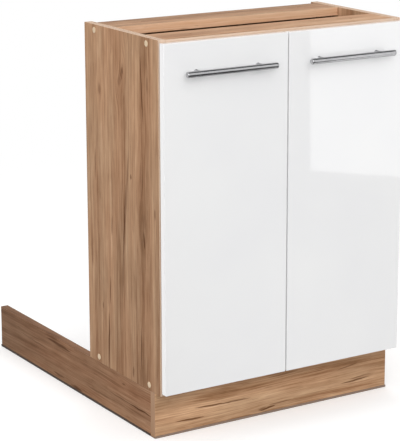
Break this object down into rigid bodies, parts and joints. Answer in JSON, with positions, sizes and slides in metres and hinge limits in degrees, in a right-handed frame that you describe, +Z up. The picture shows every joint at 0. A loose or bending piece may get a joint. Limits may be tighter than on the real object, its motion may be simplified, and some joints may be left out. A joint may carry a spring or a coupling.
{
  "type": "kitchen island base unit",
  "caption": "Two-door kitchen island base unit in oak board with white gloss doors, bar handles, a front plinth, a long side plinth and levelling feet.",
  "frame": {"origin": "on the floor, under the middle of the whole unit's box", "axes": "+X to the right seen from the front, +Y backwards, +Z up"},
  "size_m": [0.602, 0.7975, 0.84],
  "materials": {
    "oak_board": "melamine faced chipboard, knotty oak pattern, matt",
    "edge_band": "plastic edge band, pale oak, satin",
    "white_gloss": "white high gloss lacquer on fibreboard",
    "handle_steel": "brushed",
    "nickel_steel": "nickel plated",
    "zinc_steel": "zinc plated",
    "cap_plastic": "satin",
    "seal": "dark grey, dull",
    "black_plastic": "moulded",
    "fibreboard": "thin hard fibreboard, raw brown back",
    "beech": "raw",
    "bumper": "soft, cloudy"
  },
  "bodies": {
    "cabinet": {"side_panel_left": "oak_board", "side_panel_right": "oak_board", "bottom_panel": "oak_board", "front_rail": "oak_board", "rear_rail": "oak_board", "back_panel": "fibreboard", "back_nails": "zinc_steel", "shelf": "oak_board", "shelf_pins": "zinc_steel", "edge_bands": "edge_band", "connecting_screws": "zinc_steel", "dowels": "beech", "screw_caps_left": "cap_plastic", "screw_caps_right": "cap_plastic", "leg_sockets": "black_plastic", "leg_socket_screws": "zinc_steel", "leg_tubes": "black_plastic", "front_plinth": "oak_board", "side_plinth": "oak_board", "front_plinth_seal": "seal", "side_plinth_seal": "seal", "plinth_clips": "black_plastic", "clip_screws": "zinc_steel", "corner_bracket": "zinc_steel", "bracket_screws": "zinc_steel", "hinge_plates_left": "nickel_steel", "hinge_plates_right": "nickel_steel", "hinge_arms_left": "nickel_steel", "hinge_arms_right": "nickel_steel", "plate_screws_left": "zinc_steel", "plate_screws_right": "zinc_steel", "arm_screws_left": "zinc_steel", "arm_screws_right": "zinc_steel"},
    "left_door": {"door_left": "white_gloss", "handle_bar_left": "handle_steel", "handle_posts_left": "handle_steel", "handle_screws_left": "zinc_steel", "hinge_cups_left": "nickel_steel", "hinge_pins_left": "nickel_steel", "cup_screws_left": "zinc_steel", "door_bumpers_left": "bumper"},
    "right_door": {"door_right": "white_gloss", "handle_bar_right": "handle_steel", "handle_posts_right": "handle_steel", "handle_screws_right": "zinc_steel", "hinge_cups_right": "nickel_steel", "hinge_pins_right": "nickel_steel", "cup_screws_right": "zinc_steel", "door_bumpers_right": "bumper"},
    "foot_front_left": {"levelling_foot_front_left": "black_plastic"},
    "foot_rear_left": {"levelling_foot_rear_left": "black_plastic"},
    "foot_front_right": {"levelling_foot_front_right": "black_plastic"},
    "foot_rear_right": {"levelling_foot_rear_right": "black_plastic"}
  },
  "joints": [
    {"name": "left_door_hinge", "type": "hinge", "parent": "cabinet", "child": "left_door", "pos_m": [-0.2922, -0.36455, 0.47], "axis": [0, 0, -1], "range_deg": [0, 95]},
    {"name": "right_door_hinge", "type": "hinge", "parent": "cabinet", "child": "right_door", "pos_m": [0.2922, -0.36455, 0.47], "axis": [0, 0, 1], "range_deg": [0, 95]},
    {"name": "foot_front_left_turn", "type": "hinge", "parent": "cabinet", "child": "foot_front_left", "pos_m": [-0.248, -0.27675, 0.03], "axis": [0, 0, 1], "continuous": true},
    {"name": "foot_rear_left_turn", "type": "hinge", "parent": "cabinet", "child": "foot_rear_left", "pos_m": [-0.248, -0.11475, 0.03], "axis": [0, 0, 1], "continuous": true},
    {"name": "foot_front_right_turn", "type": "hinge", "parent": "cabinet", "child": "foot_front_right", "pos_m": [0.248, -0.27675, 0.03], "axis": [0, 0, 1], "continuous": true},
    {"name": "foot_rear_right_turn", "type": "hinge", "parent": "cabinet", "child": "foot_rear_right", "pos_m": [0.248, -0.11475, 0.03], "axis": [0, 0, 1], "continuous": true}
  ]
}
